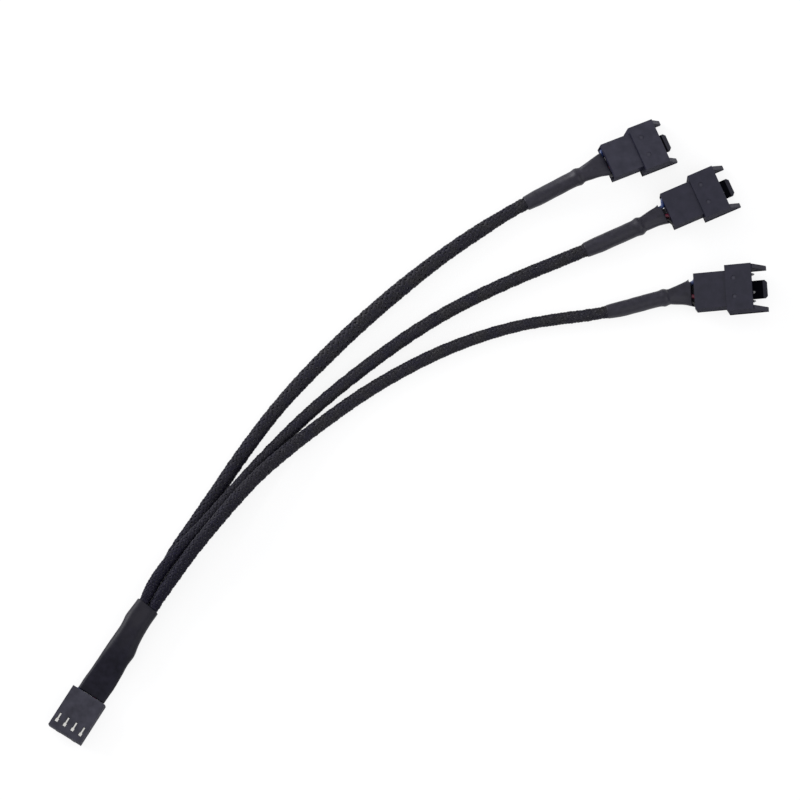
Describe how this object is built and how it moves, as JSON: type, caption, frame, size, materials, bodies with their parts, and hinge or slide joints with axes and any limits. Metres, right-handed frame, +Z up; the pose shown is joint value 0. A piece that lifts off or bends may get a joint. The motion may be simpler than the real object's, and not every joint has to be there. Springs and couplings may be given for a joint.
{
  "type": "fan splitter cable",
  "caption": "Sleeved splitter cable that connects fans to one motherboard header: a small header plug, a heat-shrunk junction and branches that fan out to open-ended ports",
  "frame": {"origin": "centre of the bounding box in plan, at the height of the table that the cable lies on", "axes": "+Z is up from the table; +X runs along the cable's longest extent, with the header plug at -X and the fan ports at +X; +Y points to the side of port 1"},
  "size_m": [0.1988, 0.1764, 0.0102],
  "materials": {
    "branch_1_heat_shrink": "black polyolefin heat shrink, satin",
    "branch_1_sleeve": "woven black monofilament braid",
    "branch_1_wire_gnd": "black insulated wire",
    "branch_1_wire_power": "red insulated wire",
    "branch_1_wire_pwm": "blue insulated wire",
    "branch_1_wire_tach": "white insulated wire",
    "branch_2_heat_shrink": "black polyolefin heat shrink, satin",
    "branch_2_sleeve": "woven black monofilament braid",
    "branch_2_wire_gnd": "black insulated wire",
    "branch_2_wire_power": "red insulated wire",
    "branch_2_wire_pwm": "blue insulated wire",
    "branch_3_heat_shrink": "black polyolefin heat shrink, satin",
    "branch_3_sleeve": "woven black monofilament braid",
    "branch_3_wire_gnd": "black insulated wire",
    "branch_3_wire_power": "red insulated wire",
    "branch_3_wire_pwm": "blue insulated wire",
    "fan_port_1_housing": "moulded black nylon, semi-gloss",
    "fan_port_1_pin_gnd": "tin-plated stamped metal",
    "fan_port_1_pin_power": "tin-plated stamped metal",
    "fan_port_1_pin_pwm": "tin-plated stamped metal",
    "fan_port_1_pin_tach": "tin-plated stamped metal",
    "fan_port_2_housing": "moulded black nylon, semi-gloss",
    "fan_port_2_pin_gnd": "tin-plated stamped metal",
    "fan_port_2_pin_power": "tin-plated stamped metal",
    "fan_port_2_pin_pwm": "tin-plated stamped metal",
    "fan_port_3_housing": "moulded black nylon, semi-gloss",
    "fan_port_3_pin_gnd": "tin-plated stamped metal",
    "fan_port_3_pin_power": "tin-plated stamped metal",
    "fan_port_3_pin_pwm": "tin-plated stamped metal",
    "header_contact_gnd": "tin-plated stamped metal",
    "header_contact_power": "tin-plated stamped metal",
    "header_contact_pwm": "tin-plated stamped metal",
    "header_contact_tach": "tin-plated stamped metal",
    "header_plug_housing": "moulded black nylon, semi-gloss",
    "junction_heat_shrink": "black polyolefin heat shrink, satin",
    "pigtail_gnd": "black insulated wire",
    "pigtail_power": "red insulated wire",
    "pigtail_pwm": "blue insulated wire",
    "pigtail_tach": "white insulated wire",
    "splice_bundle": "tape-wrapped soldered splices"
  },
  "bodies": {
    "root": {"branch_1_heat_shrink": "branch_1_heat_shrink", "branch_1_sleeve": "branch_1_sleeve", "branch_1_wire_gnd": "branch_1_wire_gnd", "branch_1_wire_power": "branch_1_wire_power", "branch_1_wire_pwm": "branch_1_wire_pwm", "branch_1_wire_tach": "branch_1_wire_tach", "branch_2_heat_shrink": "branch_2_heat_shrink", "branch_2_sleeve": "branch_2_sleeve", "branch_2_wire_gnd": "branch_2_wire_gnd", "branch_2_wire_power": "branch_2_wire_power", "branch_2_wire_pwm": "branch_2_wire_pwm", "branch_3_heat_shrink": "branch_3_heat_shrink", "branch_3_sleeve": "branch_3_sleeve", "branch_3_wire_gnd": "branch_3_wire_gnd", "branch_3_wire_power": "branch_3_wire_power", "branch_3_wire_pwm": "branch_3_wire_pwm", "fan_port_1_housing": "fan_port_1_housing", "fan_port_1_pin_gnd": "fan_port_1_pin_gnd", "fan_port_1_pin_power": "fan_port_1_pin_power", "fan_port_1_pin_pwm": "fan_port_1_pin_pwm", "fan_port_1_pin_tach": "fan_port_1_pin_tach", "fan_port_2_housing": "fan_port_2_housing", "fan_port_2_pin_gnd": "fan_port_2_pin_gnd", "fan_port_2_pin_power": "fan_port_2_pin_power", "fan_port_2_pin_pwm": "fan_port_2_pin_pwm", "fan_port_3_housing": "fan_port_3_housing", "fan_port_3_pin_gnd": "fan_port_3_pin_gnd", "fan_port_3_pin_power": "fan_port_3_pin_power", "fan_port_3_pin_pwm": "fan_port_3_pin_pwm", "header_contact_gnd": "header_contact_gnd", "header_contact_power": "header_contact_power", "header_contact_pwm": "header_contact_pwm", "header_contact_tach": "header_contact_tach", "header_plug_housing": "header_plug_housing", "junction_heat_shrink": "junction_heat_shrink", "pigtail_gnd": "pigtail_gnd", "pigtail_power": "pigtail_power", "pigtail_pwm": "pigtail_pwm", "pigtail_tach": "pigtail_tach", "splice_bundle": "splice_bundle"}
  },
  "joints": []
}
